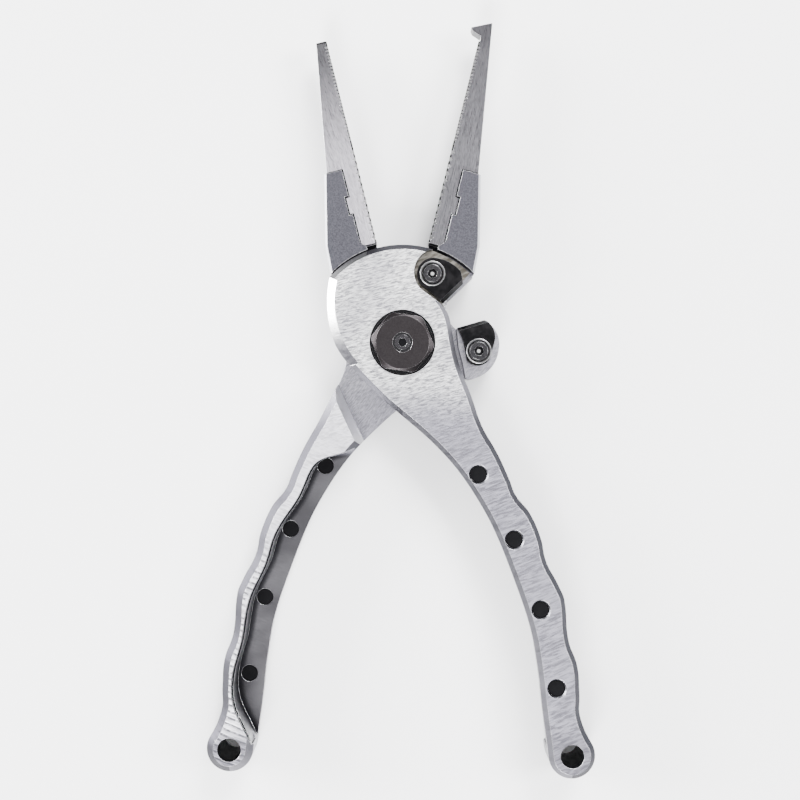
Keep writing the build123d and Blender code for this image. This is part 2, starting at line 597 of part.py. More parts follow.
def return_spring():
    """Torsion spring: a short coil round the pivot with a radial leg in each half's slot."""
    start_z = THICKNESS - LAP_FACE - SPRING_CHAMBER_DEPTH + SPRING_FLOOR_GAP + SPRING_WIRE_R
    start_angle = 180 - OPEN_ANGLE / 2
    coil_path = Helix(SPRING_PITCH, SPRING_PITCH * SPRING_TURNS, SPRING_R)
    section = Plane(origin=coil_path @ 0, z_dir=coil_path % 0) * Circle(SPRING_WIRE_R)
    coil = sweep(section, path=coil_path, is_frenet=True)
    spring = Pos(0, 0, start_z) * Rot(0, 0, start_angle) * coil
    leg = along_x(SPRING_WIRE_R, SPRING_R, SPRING_R + SPRING_LEG)
    spring += Pos(0, 0, start_z) * Rot(0, 0, start_angle) * leg
    return spring + Pos(0, 0, start_z + SPRING_PITCH * SPRING_TURNS) * Rot(0, 0, OPEN_ANGLE / 2) * leg


stop_pin = rod(polar(STOP_R, STOP_ANGLE), STOP_PIN_R, STOP_PIN_BOTTOM, STOP_PIN_TOP)


# ---------------------------------------------------------------- the nodes

def hole_plugs(shift):
    """Four round plugs, a little below the web's face in their holes."""
    bottom = THICKNESS - WEB_THICKNESS + 0.2
    top = THICKNESS - 0.5
    return Compound([rod(hole, PLUG_R, bottom, top) for hole in shifted(PLUG_HOLES, shift)])


def jaw_screw_pair():
    return Compound([jaw_screw(start) for start in JAW_SCREWS])


beak_jaw_x = -2.908
beak = [(beak_jaw_x, JAW_TIP_Y), (-2.2, 75.1), (2.2, 73.0), (1.7, 72.35), (-0.4, 71.6),
        (-0.5, JAW_TIP_Y - 0.2), (beak_jaw_x + 0.1, JAW_TIP_Y - 0.2)]
turn_rear = Rot(0, 0, -OPEN_ANGLE / 2)

nodes = {
    "front_frame": place_front(front),
    "rear_frame": place_rear(rear),
    "left_jaw": place_front(jaw(-2.55, [])),
    "right_jaw": place_rear(jaw(beak_jaw_x, beak)),
    "left_jaw_screws": place_front(jaw_screw_pair()),
    "right_jaw_screws": place_rear(jaw_screw_pair()),
    "upper_cutter": place_front(cutter(upper_outline, UPPER_SCREW, CUT_ANGLE + 90)),
    "lower_cutter": turn_rear * cutter(lower_outline, LOWER_SCREW, CUT_ANGLE - 90),
    "upper_cutter_screw": place_front(cutter_screw(UPPER_SCREW, LAP_FACE + 0.2)),
    "lower_cutter_screw": turn_rear * cutter_screw(LOWER_SCREW, LUG_SCREW_END),
    "pivot_bolt": pivot_bolt,
    "pivot_cap": pivot_cap,
    "pivot_lock_screw": lock_screw,
    "cap_washer": ring(PIVOT_R + FIT_GAP, COUNTERBORE_R - 0.4, washer_bottom, cap_bottom),
    "lap_washer": lap_washer,
    "pivot_bushing": bushing,
    "return_spring": return_spring(),
    "stop_pin": turn_rear * stop_pin,
    "front_hole_plugs": place_front(hole_plugs((0, 0))),
    "rear_hole_plugs": place_rear(hole_plugs(REAR_SHIFT)),
}

for name, shape in nodes.items():
    export_step(shape, f"parts/{name}.step")
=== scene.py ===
import math

import bpy
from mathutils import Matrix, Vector


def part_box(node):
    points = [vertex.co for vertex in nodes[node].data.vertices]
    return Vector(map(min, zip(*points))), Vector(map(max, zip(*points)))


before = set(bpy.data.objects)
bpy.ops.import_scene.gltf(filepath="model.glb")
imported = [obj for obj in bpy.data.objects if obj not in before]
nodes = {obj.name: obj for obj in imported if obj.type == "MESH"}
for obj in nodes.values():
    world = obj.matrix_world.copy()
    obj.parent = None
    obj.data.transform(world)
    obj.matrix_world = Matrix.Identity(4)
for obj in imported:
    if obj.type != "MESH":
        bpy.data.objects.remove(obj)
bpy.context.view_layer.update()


# ---------------------------------------------------------------- the two frames
# Each half of the pliers is one piece milled from aluminium plate and left satin: a lap disc, a
# jaw holder and a grooved handle. The cutter leaves fine wandering marks on the faces and short
# ribs across the flange. The jaw holders are bead-blasted, with the rest masked off.

class Level:
    """One value in a material. Arithmetic on it adds the Math nodes."""

    def __init__(self, finish, socket):
        self.finish = finish
        self.socket = socket

    def worked(self, operation, *terms):
        return self.finish.add("ShaderNodeMath", {"operation": operation}, *terms)

    def __add__(self, other):
        return self.worked("ADD", self, other)

    def __sub__(self, other):
        return self.worked("SUBTRACT", self, other)

    def __rsub__(self, other):
        return self.worked("SUBTRACT", other, self)

    def __mul__(self, other):
        return self.worked("MULTIPLY", self, other)

    def __pow__(self, other):
        return self.worked("POWER", self, other)

    def __gt__(self, other):
        return self.worked("GREATER_THAN", self, other)

    def __lt__(self, other):
        return self.worked("LESS_THAN", self, other)

    def __abs__(self):
        return self.worked("ABSOLUTE", self)

    __radd__ = __add__
    __rmul__ = __mul__

    def sine(self):
        return self.worked("SINE", self)

    def rings(self, pitch):
        """Waves between 0 and 1 that repeat every pitch."""
        return (self * (2 * math.pi / pitch)).sine() * 0.5 + 0.5

    def within(self, low, high):
        """1 between low and high, 0 outside."""
        return (self > low) * (self < high)

    def rise(self, low, high):
        """0 below low, 1 above high and smooth between them."""
        settings = {"interpolation_type": "SMOOTHSTEP"}
        return self.finish.add("ShaderNodeMapRange", settings, self, low, high, 0.0, 1.0)

    def fall(self, low, high):
        """1 below low, 0 above high and smooth between them."""
        return 1 - self.rise(low, high)


class Finish:
    """A surface finish: one material built round a Principled shader."""

    def __init__(self, piece):
        self.material = bpy.data.materials.new(piece + "_finish")
        self.material.use_nodes = True
        self.tree = self.material.node_tree
        self.shader = self.tree.nodes["Principled BSDF"]

    def add(self, kind, settings, *terms, output=0, **named):
        """Adds a node: its settings first, then its sockets' values or links."""
        node = self.tree.nodes.new(kind)
        for key, value in settings.items():
            setattr(node, key, value)
        for key, value in [*enumerate(terms), *named.items()]:
            self.plug(node.inputs[key], value)
        return Level(self, node.outputs[output])

    def plug(self, socket, value):
        """Links a level to a socket, or sets a plain value on it."""
        if isinstance(value, Level):
            self.tree.links.new(value.socket, socket)
        elif isinstance(value, tuple) and socket.type == "RGBA":
            socket.default_value = (*value, 1)
        else:
            socket.default_value = value

    def mapped(self, **placing):
        """Object coordinates, in metres, in axes that are moved, turned or scaled."""
        place = self.add("ShaderNodeTexCoord", {}, output="Object")
        return self.add("ShaderNodeMapping", {"vector_type": "TEXTURE"}, place, **placing)

    def along(self, axis, turn=0):
        """One object coordinate, in millimetres, in axes turned about the pivot by some degrees."""
        turned = self.mapped(Rotation=(0, 0, math.radians(turn)))
        return self.add("ShaderNodeSeparateXYZ", {}, turned, output=axis) * 1000

    def from_axis(self, centre=(0, 0)):
        """Distance in plan from an upright axis, the pivot's unless another is given."""
        x = self.along("X") - centre[0]
        y = self.along("Y") - centre[1]
        return (x * x + y * y) ** 0.5

    def grain(self, angle, length, width):
        """Coordinates that run one unit per grain, for grains laid at an angle in the XY plane."""
        size = (length / 1000, width / 1000, length / 1000)
        return self.mapped(Rotation=(0, 0, math.radians(angle)), Scale=size)

    def marks(self, angle, length, width, detail=3.0, roughness=0.5, distortion=0.0):
        """Noise stretched into marks of a length and width, laid at an angle."""
        return self.add("ShaderNodeTexNoise", {}, Vector=self.grain(angle, length, width), Scale=1.0,
                        Detail=detail, Roughness=roughness, Distortion=distortion)

    def specks(self, size, detail=3.0, roughness=0.5):
        """Noise of one size every way."""
        return self.marks(0, size, size, detail, roughness)

    def mixed(self, share, first, second):
        """Colour between two colours, by share.

        A Mix node keeps its two colours at sockets 6 and 7, and their mixture at 2.
        """
        mix = self.add("ShaderNodeMix", {"data_type": "RGBA"}, share, output=2)
        for socket, colour in ((6, first), (7, second)):
            self.plug(mix.socket.node.inputs[socket], colour)
        return mix

    def facing(self, axis):
        """One part of the surface's own normal."""
        normal = self.add("ShaderNodeTexCoord", {}, output="Normal")
        return self.add("ShaderNodeSeparateXYZ", {}, normal, output=axis)

    def tilt(self):
        """How far the surface turns away from lying flat: 0 on a face, 1 on an upright wall."""
        return 1 - abs(self.facing("Z"))

    def openness(self, reach):
        """1 in the open, less where the same piece stands round within a reach in millimetres."""
        settings = {"samples": 8, "only_local": True}
        return self.add("ShaderNodeAmbientOcclusion", settings, Distance=reach / 1000, output="AO")

    def edge_wear_and_highlight(self, radius):
        """Normal rounded over the edges by a radius in millimetres, and how near an edge it is."""
        rounded = self.add("ShaderNodeBevel", {"samples": 4}, radius / 1000)
        flat = self.add("ShaderNodeNewGeometry", {}, output="Normal")
        settings = {"operation": "DOT_PRODUCT"}
        agreement = self.add("ShaderNodeVectorMath", settings, rounded, flat, output="Value")
        return rounded, (1 - agreement).rise(0.01, 0.2)

    def dress(self, node, colour, rough, height, depth, normal=None, metallic=1.0):
        """Joins the finish to the shader and puts it on a node. The depth is in millimetres."""
        bump = self.add("ShaderNodeBump", {}, Strength=1.0, Distance=depth / 1000, Height=height)
        if normal is not None:
            self.plug(bump.socket.node.inputs["Normal"], normal)
        self.plug(self.shader.inputs["Base Color"], colour)
        self.plug(self.shader.inputs["Roughness"], rough)
        self.plug(self.shader.inputs["Normal"], bump)
        self.plug(self.shader.inputs["Metallic"], metallic)
        nodes[node].data.materials.clear()
        nodes[node].data.materials.append(self.material)


# how far a surface leans, from 0 on a level face to 1 on an upright wall: below LEVEL it counts as
# level, and each pair is where slopes, steep slopes or upright walls begin and are in full
LEVEL = 0.1
SLOPING = (0.05, 0.2)
STEEP = (0.42, 0.48)
UPRIGHT = (0.66, 0.85)

# places on a half, in millimetres from the pivot's axis and from the board: a pair is where a
# band or a change starts and ends
HANDLE_MARKS_Y = (-30, -16)
BRIGHT_HEAD_Y = (-19, -5)
RECESS_TOP_Y = (-26, -24)
RIBS_Y = (-52, -38)
BOSS_Y = (-90, -84)
OUTER_CHAMFER_Y = (-20, -8)
LEFT_BEVEL_X = -8
LEFT_BEVEL_Y = (-2, 6)
FLANGE_Z = 11.5
LEDGE_Z = (10.2, 11.2)
WEB_HALF_BAND = 0.3
HOLDER_R = (22.2, 22.5)
DISC_CREASE_R = (21.85, 22.35)
DISC_CREASE_Z = 11.0
SHANK_CREASE_R = (21.85, 23.4)
SHANK_CREASE_Z = 7.4
CREASES_Y = 12
FRAME_EDGE = 0.14          # radius that the edges have worn to
FRAME_RELIEF = 0.035       # depth of the milling marks

# tones, each pair the dark and the pale end of a surface's grain
HEAD_TONES = ((0.12, 0.117, 0.14), (1.0, 1.0, 1.0))
ARM_TONES = ((0.105, 0.102, 0.121), (0.36, 0.352, 0.41))
SWEEP_TONE = (0.26, 0.255, 0.295)
BOSS_TONES = ((0.11, 0.107, 0.126), (0.21, 0.205, 0.235))
FLANGE_TONE = (0.86, 0.85, 0.90)
RIB_TONE = (0.045, 0.044, 0.052)
WEB_SHADE = (0.009, 0.009, 0.011)
LEDGE_SHADE_TONE = (0.012, 0.012, 0.014)
CHAMFER_SHADE_TONES = ((0.115, 0.113, 0.128), (0.20, 0.197, 0.22))
OUTER_CHAMFER_SHADE_TONES = ((0.028, 0.027, 0.033), (0.055, 0.054, 0.064))
LEFT_BEVEL_HIGHLIGHT = (1.0, 1.0, 1.0)
SHOULDER_HIGHLIGHT_TONES = ((0.75, 0.745, 0.78), (0.95, 0.945, 0.97))
WALL_SHADE_TONES = ((0.17, 0.168, 0.18), (0.26, 0.257, 0.275))
RECESS_WALL_SHADE_TONES = ((0.018, 0.0175, 0.021), (0.04, 0.039, 0.046))
BLASTED_TONES = ((0.040, 0.0395, 0.047), (0.070, 0.069, 0.081))
BLASTED_BEVEL_TONE = (0.45, 0.45, 0.48)
WORN_AND_HIGHLIGHT_TONE = (0.95, 0.95, 0.97)
CREASE_SHADE_TONE = (0.006, 0.006, 0.007)


def milled_aluminium(name, marks_angle, flanged, web_z, web_tones):
    """Satin milled faces with marks laid across the handle, chamfers and walls painted with light and
    shade, and a blasted holder.

    The flange's ribs and ledge show only where flanged is 1. The web's face in the recess is at
    the height web_z.
    """
    finish = Finish(name)
    x = finish.along("X")
    y = finish.along("Y")
    z = finish.along("Z")
    radius = finish.from_axis()
    tilt = finish.tilt()
    rounded, edge = finish.edge_wear_and_highlight(FRAME_EDGE)
    fine = finish.specks(0.16, 2.0)
    grit = finish.specks(0.3, 3.0, 0.7)

    # the end mill's marks: short and wandering on the head, laid across the handle further down
    on_handle = y.fall(*HANDLE_MARKS_Y)
    head_marks = finish.marks(14, 1.7, 0.32, 3.0, 0.65, 0.8)
    arm_marks = finish.marks(marks_angle, 2.6, 0.4, 3.0, 0.6, 0.4)
    marks = head_marks * (1 - on_handle) + arm_marks * on_handle
    streak = marks.rise(0.36, 0.62)
    sweep = finish.marks(marks_angle + 40, 14.0, 9.0, 2.0)
    speckle = fine.rise(0.3, 0.7)
    head_face = finish.mixed(streak * 0.75 + speckle * 0.25, *HEAD_TONES)
    arm_face = finish.mixed(streak * 0.6 + speckle * 0.4, *ARM_TONES)
    face = finish.mixed(y.fall(*BRIGHT_HEAD_Y), head_face, arm_face)
    face = finish.mixed(sweep.rise(0.4, 0.68) * 0.4, face, SWEEP_TONE)
    boss = y.fall(*BOSS_Y)
    face = finish.mixed(boss * 0.8, face, finish.mixed(streak, *BOSS_TONES))

    # dark ribs left across the pale flange by the side of the cutter, broken up except at the boss
    across = finish.add("ShaderNodeSeparateXYZ", {}, finish.grain(marks_angle, 1.0, 1.35), output="Y")
    breakup = finish.marks(marks_angle, 1.1, 1.35, 2.0).rise(0.34, 0.54)
    flange = (z > FLANGE_Z) * flanged
    ribbed = flange * y.fall(*RIBS_Y) * (breakup * (1 - boss) + boss * 0.9)
    rib = ((across + sweep * 0.6) * (2 * math.pi)).sine().rise(-0.1, 0.8) * ribbed
    face = finish.mixed(flange * (1 - boss) * (0.55 + streak * 0.35), face, FLANGE_TONE)
    face = finish.mixed(rib * 0.9, face, RIB_TONE)

    # the recess in the handle: its web, with painted shade along the foot of the wall, and the
    # flange's ledge, painted near-black as shade
    recess_floor = y.fall(*RECESS_TOP_Y) * (tilt < LEVEL)
    web = z.within(web_z - WEB_HALF_BAND, web_z + WEB_HALF_BAND) * recess_floor
    web_face = finish.mixed(sweep.rise(0.3, 0.7), *web_tones)
    shaded = (1 - finish.openness(2.3)).rise(0.12, 0.3)
    face = finish.mixed(web, face, finish.mixed(shaded * 0.9, web_face, WEB_SHADE))
    face = finish.mixed(z.within(*LEDGE_Z) * recess_floor * flanged, face, LEDGE_SHADE_TONE)

    # chamfers, painted darker than the faces as shade, darkest down the outside of the handle, and
    # painted white as a highlight on the bevel of the head's left side
    outward = (finish.facing("X") * x) > 0
    outer_chamfer = finish.mixed(fine, *OUTER_CHAMFER_SHADE_TONES)
    chamfer = finish.mixed(fine, *CHAMFER_SHADE_TONES)
    chamfer = finish.mixed(y.fall(*OUTER_CHAMFER_Y) * outward, chamfer, outer_chamfer)
    chamfer = finish.mixed((x < LEFT_BEVEL_X) * y.rise(*LEFT_BEVEL_Y), chamfer, LEFT_BEVEL_HIGHLIGHT)

    # the steep slope at the shoulder, painted pale as a highlight, and the upright walls, painted
    # darker as shade and darkest where they stand in a recess
    shoulder = finish.mixed(fine, *SHOULDER_HIGHLIGHT_TONES)
    enclosed = (1 - finish.openness(20)).rise(0.08, 0.2)
    recess_wall = finish.mixed(fine, *RECESS_WALL_SHADE_TONES)
    wall = finish.mixed(enclosed, finish.mixed(fine, *WALL_SHADE_TONES), recess_wall)
    face = finish.mixed(tilt.rise(*SLOPING), face, chamfer)
    face = finish.mixed(tilt.rise(*STEEP), face, shoulder)
    face = finish.mixed(tilt.rise(*UPRIGHT), face, wall)

    # the holder outside the disc, and the edges of the whole half, painted pale: partly wear, partly
    # a painted highlight
    holder = radius.rise(*HOLDER_R) * (y > 0)
    blasted = finish.mixed(grit.rise(0.3, 0.7), *BLASTED_TONES)
    blasted = finish.mixed(tilt.rise(*SLOPING) * tilt.fall(0.5, 0.7), blasted, BLASTED_BEVEL_TONE)
    colour = finish.mixed(holder, face, blasted)
    colour = finish.mixed(edge * 0.75, colour, WORN_AND_HIGHLIGHT_TONE)

    # painted shade: the crease round the disc and the gap under the end of the jaw's shank are
    # painted dark
    disc_crease = radius.within(*DISC_CREASE_R) * (z < DISC_CREASE_Z)
    shank_crease = radius.within(*SHANK_CREASE_R) * (z < SHANK_CREASE_Z)
    crease_shade = (disc_crease + shank_crease) * (y > CREASES_Y) * (tilt < 0.8)
    colour = finish.mixed(crease_shade, colour, CREASE_SHADE_TONE)

    milled_rough = 0.28 + streak * 0.12 + fine * 0.06 + rib * 0.1
    rough = milled_rough * (1 - holder) + holder * (0.5 + grit * 0.12)
    milled_height = marks * 0.8 + fine * 0.25 - rib * 0.9
    height = milled_height * (1 - holder) + holder * grit * 0.6
    return finish, colour, rough, height, rounded


# the rear half also shows its lap and the lower cutter's lug beside the front half, in grey
LOWERED_Z = (5, 8.6)
LAP_Y = 0                  # the lap shows below this
LUG_X = 10                 # the lug shows to the right of this
REAR_WEB_TONES = ((0.050, 0.0485, 0.053), (0.095, 0.0925, 0.10))
LOWERED_TONES = ((0.13, 0.127, 0.148), (0.30, 0.294, 0.335))

finish, colour, rough, height, rounded = milled_aluminium(
    "rear_frame", marks_angle=158, flanged=1.0, web_z=3.0, web_tones=REAR_WEB_TONES)
lowered = finish.along("Z").within(*LOWERED_Z) * (finish.tilt() < LEVEL)
beside_front = ((finish.along("Y") < LAP_Y) + (finish.along("X") > LUG_X)) > 0.5
swirl = finish.marks(50, 1.2, 0.25, 3.0, 0.6, 0.5).rise(0.3, 0.7)
greyed = finish.mixed(swirl, *LOWERED_TONES)
colour = finish.mixed(lowered * beside_front * 0.85, colour, greyed)
finish.dress("rear_frame", colour, rough, height, FRAME_RELIEF, rounded)

# the front half also has the upper cutter's pocket, whose floor is stained, a chamfer along
# the disc's upper edge and the recess under the cap, both painted dark as shade
POCKET_Z = (8.2, 8.6)
POCKET_R = 9
UPPER_EDGE_Y = 14
UPPER_EDGE_Z = 10.6
CAP_RECESS_R = 7.45
CAP_RECESS_Z = 11.9
FRONT_WEB_TONES = ((0.25, 0.25, 0.26), (0.35, 0.35, 0.36))
STAIN_TONES = ((0.085, 0.078, 0.066), (0.26, 0.245, 0.22))
UPPER_EDGE_SHADE_TONE = (0.02, 0.02, 0.024)
CAP_RECESS_SHADE_TONE = (0.03, 0.029, 0.031)

finish, colour, rough, height, rounded = milled_aluminium(
    "front_frame", marks_angle=22, flanged=0.0, web_z=9.0, web_tones=FRONT_WEB_TONES)
x = finish.along("X")
y = finish.along("Y")
z = finish.along("Z")
radius = finish.from_axis()
pocket = z.within(*POCKET_Z) * (radius > POCKET_R) * (x > 0) * (y > 0)
stained = finish.mixed(finish.marks(20, 2.5, 0.8).rise(0.35, 0.7), *STAIN_TONES)
colour = finish.mixed(pocket, colour, stained)
facing_up = (finish.tilt() > LEVEL) * finish.facing("Y").rise(0.25, 0.5)
upper_edge_shade = facing_up * (y > UPPER_EDGE_Y) * (z > UPPER_EDGE_Z) * (radius < HOLDER_R[0])
colour = finish.mixed(upper_edge_shade * 0.92, colour, UPPER_EDGE_SHADE_TONE)
# painted shade: the recess round the cap is painted near-black
under_cap_shade = (radius < CAP_RECESS_R) * (z < CAP_RECESS_Z)
colour = finish.mixed(under_cap_shade, colour, CAP_RECESS_SHADE_TONE)
finish.dress("front_frame", colour, rough, height, FRAME_RELIEF, rounded)


# ---------------------------------------------------------------- jaws
# The two jaws are stainless steel inserts, keyed into the holders: one flat-ended and one with a
# beak for opening split rings. They are ground lengthwise and the grip teeth are cut afterwards.

JAW_TURN = 14              # degrees that each jaw stands away from the middle at rest
TONE_START_Y = 30          # from here to the tip the low end's tone changes into the tip's, a painted fade from light to shade
LEFT_TIP_Y = 70.4
RIGHT_TIP_Y = 80.0         # past the end of the beak, because this jaw has no blunt end
GRIP_BAND = 1.2            # the teeth lie within this of the grip line
BLUNT_BAND = 3             # the blunt end lies within this of it
BLUNT_BEFORE = 0.4         # and from this much before the tip
BLUNT_BEYOND = 0.5         # to this much past it
REBATE_SIDE = 2.5          # the rebate lies beyond this from the grip line
REBATE_TOP_Y = 41.3
REBATE_Z = 9.0
JAW_EDGE = 0.12
SCUFF_LEAN = 14
LEFT_JAW_TONES = ((0.56, 0.535, 0.585), (0.085, 0.083, 0.09))
RIGHT_JAW_TONES = ((0.14, 0.137, 0.149), (0.062, 0.060, 0.066))
BLACK = (0, 0, 0)
JAW_WORN_AND_HIGHLIGHT_TONE = (0.85, 0.85, 0.87)
GRIP_SHADE_TONES = ((0.002, 0.002, 0.002), (0.05, 0.05, 0.052))
BLUNT_SHADE_TONE = (0.02, 0.02, 0.02)
REBATE_SHADE_TONE = (0.004, 0.004, 0.004)


def ground_steel(name, turn, side, tip_y, tones):
    """Brushed steel, painted pale toward the holder and dark toward the tip as light and shade, with
    teeth and seams painted black as shade.
    """
    finish = Finish(name)
    off_line = finish.along("X", turn) * side
    y = finish.along("Y", turn)
    lengthwise = 90 + turn
    brushed = finish.marks(lengthwise, 4.0, 0.14, 3.0, 0.6)
    scuffs = finish.marks(lengthwise + SCUFF_LEAN, 1.2, 0.26, 3.0, 0.6)
    cloud = finish.specks(7.0, 2.0)
    rounded, edge = finish.edge_wear_and_highlight(JAW_EDGE)
    tilt = finish.tilt()
    low_end, tip_end = tones
    # painted light and shade: the tone fades from the low end's to the tip's along the jaw
    pale = finish.mixed(y.fall(TONE_START_Y, tip_y), tip_end, low_end)
    shaded = finish.mixed(0.45 + cloud * 0.3, BLACK, pale)
    tone = (brushed * 0.55 + scuffs * 0.45).rise(0.34, 0.64)
    colour = finish.mixed(tone, shaded, pale)
    # edges painted pale: partly wear, partly a painted highlight
    colour = finish.mixed(edge * 0.75, colour, JAW_WORN_AND_HIGHLIGHT_TONE)

    # painted shade: the grip face with its teeth, the blunt end and the rebate round the shank are
    # painted black
    steep = tilt.rise(0.5, 0.8)
    grip = (off_line > -GRIP_BAND) * tilt.rise(0.15, 0.25)
    blunt = y.within(tip_y - BLUNT_BEFORE, tip_y + BLUNT_BEYOND) * (off_line > -BLUNT_BAND)
    rebate = (y < REBATE_TOP_Y) * ((finish.along("Z") < REBATE_Z) + steep) * (off_line < -REBATE_SIDE)
    colour = finish.mixed(grip, colour, finish.mixed(steep, *GRIP_SHADE_TONES))
    colour = finish.mixed(blunt * 0.8, colour, BLUNT_SHADE_TONE)
    colour = finish.mixed(rebate, colour, REBATE_SHADE_TONE)
    finish.dress(name, colour, 0.26 + tone * 0.14, brushed * 0.6 + scuffs * 0.4, 0.03, rounded)


ground_steel("left_jaw", JAW_TURN, 1, LEFT_TIP_Y, LEFT_JAW_TONES)
ground_steel("right_jaw", -JAW_TURN, -1, RIGHT_TIP_Y, RIGHT_JAW_TONES)


# ---------------------------------------------------------------- side cutters
# Two hardened steel blades screwed into a pocket on the front half and a lug on the rear half.
# They are black-oxided after grinding, so they are near-black with a faint oily sheen.

UPPER_GRIND = 44           # degrees at which each blade was ground
LOWER_GRIND = 16
SCREW_SEAT_R = 2.78
SCREW_SEAT_Z = 10.3
CUTTER_EDGE = 0.14
OXIDE_TONES = ((0.006, 0.006, 0.0065), (0.014, 0.0135, 0.0145))
OXIDE_WORN_AND_HIGHLIGHT_TONE = (0.25, 0.25, 0.26)
SCREW_SEAT_TONE = (0.62, 0.62, 0.63)


def middle(name):
    """Centre of a node in plan, in millimetres."""
    low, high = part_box(name)
    return ((low.x + high.x) * 500, (low.y + high.y) * 500)


def black_oxide(name, grind_angle, screw):
    """Near-black steel with faint grinding lines and a bare ring round the screw's head."""
    finish = Finish(name)
    grind = finish.marks(grind_angle, 3.0, 0.14, 3.0, 0.6)
    patches = finish.specks(2.2, 3.0, 0.6)
    rounded, edge = finish.edge_wear_and_highlight(CUTTER_EDGE)
    seat = (finish.from_axis(screw) < SCREW_SEAT_R) * (finish.along("Z") > SCREW_SEAT_Z)
    colour = finish.mixed(patches.rise(0.35, 0.7), *OXIDE_TONES)
    # edges painted pale: partly worn oxide, partly a painted highlight
    colour = finish.mixed(edge * 0.8, colour, OXIDE_WORN_AND_HIGHLIGHT_TONE)
    colour = finish.mixed(seat, colour, SCREW_SEAT_TONE)
    rough = 0.26 + grind * 0.14 + patches * 0.08
    finish.dress(name, colour, rough, grind * 0.6 + patches * 0.4, 0.03, rounded)


black_oxide("upper_cutter", UPPER_GRIND, middle("upper_cutter_screw"))
black_oxide("lower_cutter", LOWER_GRIND, middle("lower_cutter_screw"))


# ---------------------------------------------------------------- screws and pins
# Small turned steel parts: the cutter and jaw screws, the stop pin, the pivot bolt, its lock screw
# and the washer under the cap. Facing on the lathe leaves fine rings about an upright axis. The
# jaw screws lie flat, and show them as fine lines.

LATHE_PITCH = 0.22
SCREW_EDGE = 0.1
SCREW_WORN_AND_HIGHLIGHT_TONE = (0.9, 0.9, 0.91)
SOCKET_SHADE_Z = 9              # only what is above this height is painted dark as the shade in a socket
SOCKET_SHADE_TONE = (0.008, 0.008, 0.009)
SOCKET_GLINT_TONE = (0.5, 0.5, 0.5)
CUTTER_SCREW_TONES = ((0.014, 0.0135, 0.015), (0.05, 0.049, 0.053))
BRIGHT_TONES = ((0.42, 0.42, 0.44), (0.72, 0.72, 0.74))
BOLT_TONES = ((0.40, 0.40, 0.42), (0.62, 0.62, 0.64))
LOCK_SCREW_TONES = ((0.022, 0.021, 0.023), (0.05, 0.048, 0.052))
WASHER_TONES = ((0.010, 0.010, 0.011), (0.022, 0.022, 0.023))
CUTTER_SCREW_SOCKET = (1.2, 11.2, 0.4)
LOCK_SCREW_SOCKET = (1.02, 13.15, 0)
BOLT_END = (2.6, 12.95, 0)
PIVOT = (0, 0)


def turned_steel(name, centre, tones, socket=None):
    """Turned steel. A socket is its radius, the height of its top and the radius of a painted glint
    on its floor.
    """
    finish = Finish(name)
    radius = finish.from_axis(centre)
    ring = radius.rings(LATHE_PITCH)
    fine = finish.specks(0.3, 3.0, 0.6)
    rounded, edge = finish.edge_wear_and_highlight(SCREW_EDGE)
    colour = finish.mixed(fine.rise(0.3, 0.7) * 0.6 + ring * 0.4, *tones)
    # edges painted pale: partly wear, partly a painted highlight
    colour = finish.mixed(edge * 0.6, colour, SCREW_WORN_AND_HIGHLIGHT_TONE)
    if socket:
        socket_r, top, glint_r = socket
        z = finish.along("Z")
        inside = (radius < socket_r) * z.fall(top - 0.5, top - 0.15) * (z > SOCKET_SHADE_Z)
        colour = finish.mixed(inside * 0.96, colour, SOCKET_SHADE_TONE)
        colour = finish.mixed(inside * (radius < glint_r), colour, SOCKET_GLINT_TONE)
    finish.dress(name, colour, 0.22 + fine * 0.14, ring * 0.5 + fine * 0.5, 0.012, rounded)


for screw in ("upper_cutter_screw", "lower_cutter_screw"):
    turned_steel(screw, middle(screw), CUTTER_SCREW_TONES, CUTTER_SCREW_SOCKET)
for screw in ("left_jaw_screws", "right_jaw_screws", "stop_pin"):
    turned_steel(screw, middle(screw), BRIGHT_TONES)

# the bolt's end shows in the cap's recess, round the lock screw, and is painted dark there as shade,
# as a socket is
turned_steel("pivot_bolt", PIVOT, BOLT_TONES, BOLT_END)
turned_steel("pivot_lock_screw", PIVOT, LOCK_SCREW_TONES, LOCK_SCREW_SOCKET)
turned_steel("cap_washer", PIVOT, WASHER_TONES)


# ---------------------------------------------------------------- pivot cap
# The hexagonal cap over the pivot is turned from black-anodised aluminium, with rounded corners,
# a chamfered rim and a recess for its lock screw. Its edges are painted pale: partly worn anodising,
# partly a painted highlight.

CAP_EDGE = 0.14
CAP_RING_PITCH = 0.3
CAP_TONES = ((0.018, 0.016, 0.017), (0.030, 0.027, 0.0285))
CAP_WORN_AND_HIGHLIGHT_TONE = (0.55, 0.54, 0.55)

cap = Finish("pivot_cap")
facing_rings = cap.from_axis().rings(CAP_RING_PITCH)
cap_fine = cap.specks(0.25, 3.0, 0.6)
cap_cloud = cap.marks(30, 4.0, 4.0, 2.0)
cap_rounded, cap_edge = cap.edge_wear_and_highlight(CAP_EDGE)
cap_colour = cap.mixed(cap_fine.rise(0.3, 0.7) * 0.5 + cap_cloud * 0.5, *CAP_TONES)
cap_colour = cap.mixed(cap_edge * 0.75, cap_colour, CAP_WORN_AND_HIGHLIGHT_TONE)
cap_rough = 0.30 + cap_fine * 0.12
cap_height = facing_rings * 0.6 + cap_fine * 0.4
cap.dress("pivot_cap", cap_colour, cap_rough, cap_height, 0.012, cap_rounded)


# ---------------------------------------------------------------- hidden running parts
# Between the laps: an acetal thrust washer, a sintered bronze bush in the front half and a
# torsion spring of drawn wire that pushes the handles open.

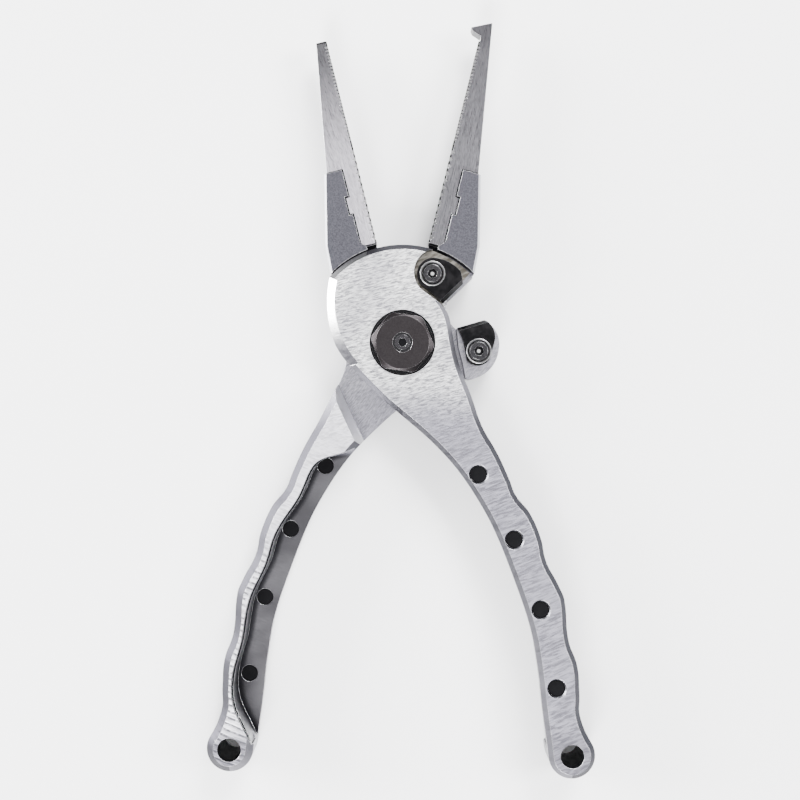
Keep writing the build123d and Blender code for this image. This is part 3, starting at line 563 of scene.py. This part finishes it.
acetal = Finish("lap_washer")
skin = acetal.specks(0.8, 4.0, 0.6)
acetal_colour = acetal.mixed(skin, (0.62, 0.60, 0.53), (0.74, 0.72, 0.66))
acetal.dress("lap_washer", acetal_colour, 0.45 + skin * 0.1, skin, 0.02, metallic=0.0)

bronze = Finish("pivot_bushing")
pores = bronze.specks(0.15, 3.0, 0.7)
bronze_colour = bronze.mixed(pores.rise(0.35, 0.6), (0.22, 0.13, 0.05), (0.60, 0.40, 0.19))
bronze.dress("pivot_bushing", bronze_colour, 0.3 + pores * 0.2, pores, 0.03)

wire = Finish("return_spring")
drawn = wire.marks(0, 0.12, 0.5, 3.0, 0.6)
wire_colour = wire.mixed(drawn, (0.26, 0.26, 0.27), (0.45, 0.45, 0.46))
wire.dress("return_spring", wire_colour, 0.25 + drawn * 0.15, drawn, 0.01)


# ---------------------------------------------------------------- handle plugs
# Round black rubber plugs pressed into the four holes of each handle's web, a little below its
# face; their near-black colour is painted shade, standing in for the dark seen through the holes.
# Moulded rubber is matt, with a slight bloom and fine specks.

PLUG_SHADE_TONES = ((0.0015, 0.0015, 0.002), (0.004, 0.004, 0.0045))
RUBBER_SPECULAR = 0.06

for plugs in ("front_hole_plugs", "rear_hole_plugs"):
    rubber = Finish(plugs)
    bloom = rubber.specks(1.1, 3.0, 0.6)
    specks = rubber.specks(0.12, 2.0, 0.6)
    rubber_colour = rubber.mixed(bloom, *PLUG_SHADE_TONES)
    rubber_height = specks * 0.7 + bloom * 0.3
    rubber.dress(plugs, rubber_colour, 0.75 + specks * 0.2, rubber_height, 0.03, metallic=0.0)
    rubber.plug(rubber.shader.inputs["Specular IOR Level"], RUBBER_SPECULAR)


# ---------------------------------------------------------------- floor, light and camera
# A pale board under the pliers, a wide soft light overhead, a low one on the left and smaller
# ones beyond, before and to the right. The camera looks straight down from just on the handles'
# side of the pivot.

FLOOR_SIZE = 6.0
FLOOR_GAP = 0.00005        # keeps the board's face from coinciding with the pliers' back
FLOOR_TONES = ((0.90, 0.90, 0.905), (0.93, 0.93, 0.935))
PLIERS = (0, 0, 0)

bpy.ops.mesh.primitive_plane_add(size=FLOOR_SIZE, location=(0, 0, -FLOOR_GAP))
floor = bpy.context.object
floor.name = "floor"
board = Finish("floor")
board.plug(board.shader.inputs["Base Color"], board.mixed(board.specks(60), *FLOOR_TONES))
board.plug(board.shader.inputs["Roughness"], 0.9)
floor.data.materials.append(board.material)


def soft_light(name, place, aim, width, height, power):
    """A rectangular light that shines from a place toward an aim."""
    light = bpy.data.lights.new(name, "AREA")
    light.shape = "RECTANGLE"
    light.size = width
    light.size_y = height
    light.energy = power
    lamp = bpy.data.objects.new(name, light)
    lamp.location = place
    lamp.rotation_euler = (Vector(aim) - Vector(place)).to_track_quat("-Z", "Y").to_euler()
    bpy.context.scene.collection.objects.link(lamp)


soft_light("overhead", (0, 0, 1.0), PLIERS, 1.4, 1.4, 13)
soft_light("left_side", (-0.8, 0.22, 0.22), (0, 0, 0.01), 0.55, 0.4, 34)
soft_light("beyond", (0.35, 0.9, 0.8), PLIERS, 0.5, 0.5, 36)
soft_light("before", (-0.25, -0.9, 0.8), PLIERS, 0.5, 0.5, 32)
soft_light("right_side", (0.9, 0.1, 0.8), PLIERS, 0.4, 0.4, 20)

world = bpy.data.worlds.new("studio")
world.use_nodes = True
backdrop = world.node_tree.nodes["Background"]
backdrop.inputs["Color"].default_value = (0.95, 0.96, 1.0, 1)
backdrop.inputs["Strength"].default_value = 0.5
bpy.context.scene.world = world

CAMERA_PLACE = (0.00011, -0.01278, 0.279)

lens = bpy.data.cameras.new("camera")
lens.lens = 54.06
lens.sensor_width = 36.0
lens.shift_x = -0.00375
camera = bpy.data.objects.new("camera", lens)
camera.location = CAMERA_PLACE
bpy.context.scene.collection.objects.link(camera)
bpy.context.scene.camera = camera
